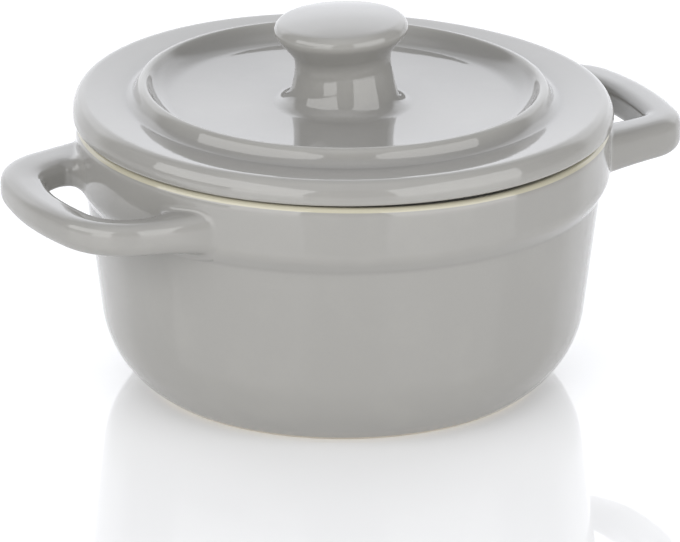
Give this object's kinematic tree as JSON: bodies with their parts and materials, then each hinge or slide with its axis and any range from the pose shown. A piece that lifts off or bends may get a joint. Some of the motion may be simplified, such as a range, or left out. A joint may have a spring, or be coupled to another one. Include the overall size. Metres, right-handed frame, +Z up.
{
  "type": "ceramic casserole pot",
  "caption": "Small round glazed ceramic casserole pot with side loop handles and a lift-off lid with a raised ring and mushroom knob, for baking and serving individual portions.",
  "frame": {"origin": "on the table, under the middle of the pot", "axes": "+X through the handles, +Z up, the way the lid lifts, +Y square to both"},
  "size_m": [0.1364, 0.104, 0.073],
  "materials": {
    "grey_glaze": "gloss"
  },
  "bodies": {
    "pot": {"pot_body": "grey_glaze", "handle_left": "grey_glaze", "handle_right": "grey_glaze"},
    "lid": {"lid": "grey_glaze", "lid_knob": "grey_glaze"}
  },
  "joints": [
    {"name": "lid_lift", "type": "slide", "parent": "pot", "child": "lid", "axis": [0, 0, 1], "range_m": [0, 0.1]}
  ]
}
